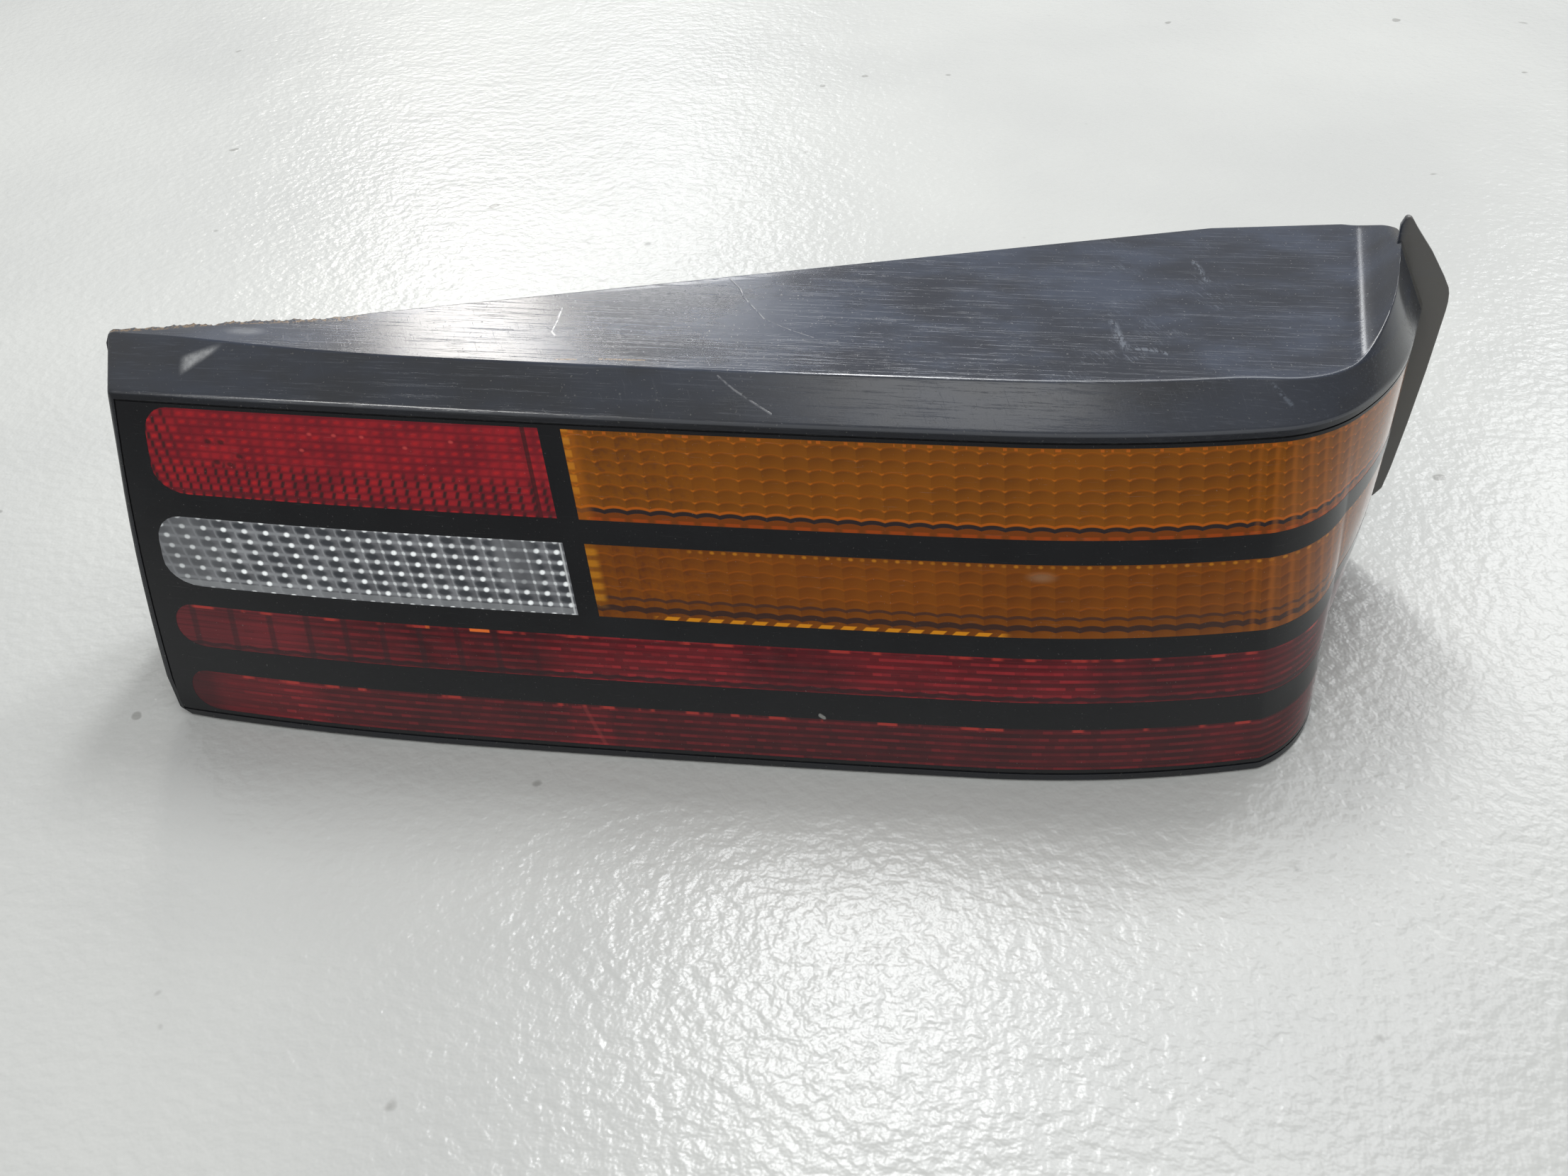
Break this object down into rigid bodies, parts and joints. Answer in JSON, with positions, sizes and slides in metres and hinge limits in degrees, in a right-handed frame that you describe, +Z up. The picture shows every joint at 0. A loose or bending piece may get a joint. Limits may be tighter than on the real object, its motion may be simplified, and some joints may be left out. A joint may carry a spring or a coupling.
{
  "type": "tail light cluster",
  "caption": "Wrap-around rear lamp for the right-hand corner of a coupe: dark housing with a sloping shelf on top, black grid and red, clear and amber lens windows, complete with bulbs.",
  "frame": {"origin": "middle of the lamp's outer box, on the flat underside of the housing that it rests on", "axes": "+X along the lamp towards its outer end, +Y forwards into the car, out of the back of the lamp, +Z up"},
  "size_m": [0.4818, 0.1919, 0.1528],
  "materials": {
    "housing_plastic": "satin, faintly blue, scuffed",
    "grid_plastic": "gloss black",
    "lens_red": "gloss, transparent red, optics moulded inside",
    "lens_dark_red": "gloss, transparent deep red, optics moulded inside",
    "lens_clear": "gloss, transparent, optics moulded inside",
    "lens_amber": "gloss, transparent amber, optics moulded inside",
    "sealant": "dull black",
    "metallised_plastic": "bright metallised skin on plastic",
    "bulb_glass": "clear",
    "bulb_glass_amber": "amber tinted",
    "cap_metal": "bright, stamped",
    "carrier_plastic": "matt grey",
    "contact_brass": "dull",
    "connector_plastic": "matt black",
    "screw_steel": "zinc plated",
    "gasket_foam": "closed-cell foam, matt",
    "vent_rubber": "matt"
  },
  "bodies": {
    "root": {"housing": "housing_plastic", "lens_grid": "grid_plastic", "lens_fog": "lens_red", "lens_reverse": "lens_clear", "lens_amber_upper": "lens_amber", "lens_amber_lower": "lens_amber", "lens_red_upper": "lens_dark_red", "lens_red_lower": "lens_dark_red", "lens_seal": "sealant", "reflector_fog": "metallised_plastic", "reflector_reverse": "metallised_plastic", "reflector_turn": "metallised_plastic", "reflector_tail": "metallised_plastic", "bulb_carrier": "carrier_plastic", "bulb_fog": "bulb_glass", "bulb_reverse": "bulb_glass", "bulb_turn": "bulb_glass_amber", "bulb_stop": "bulb_glass", "bulb_tail": "bulb_glass", "bulb_caps": "cap_metal", "contact_earth": "contact_brass", "contact_left": "contact_brass", "contact_right": "contact_brass", "connector": "connector_plastic", "connector_pins": "contact_brass", "carrier_screws": "screw_steel", "body_gasket": "gasket_foam", "studs": "screw_steel", "stud_seals": "gasket_foam", "vent_cap": "vent_rubber"}
  },
  "joints": []
}
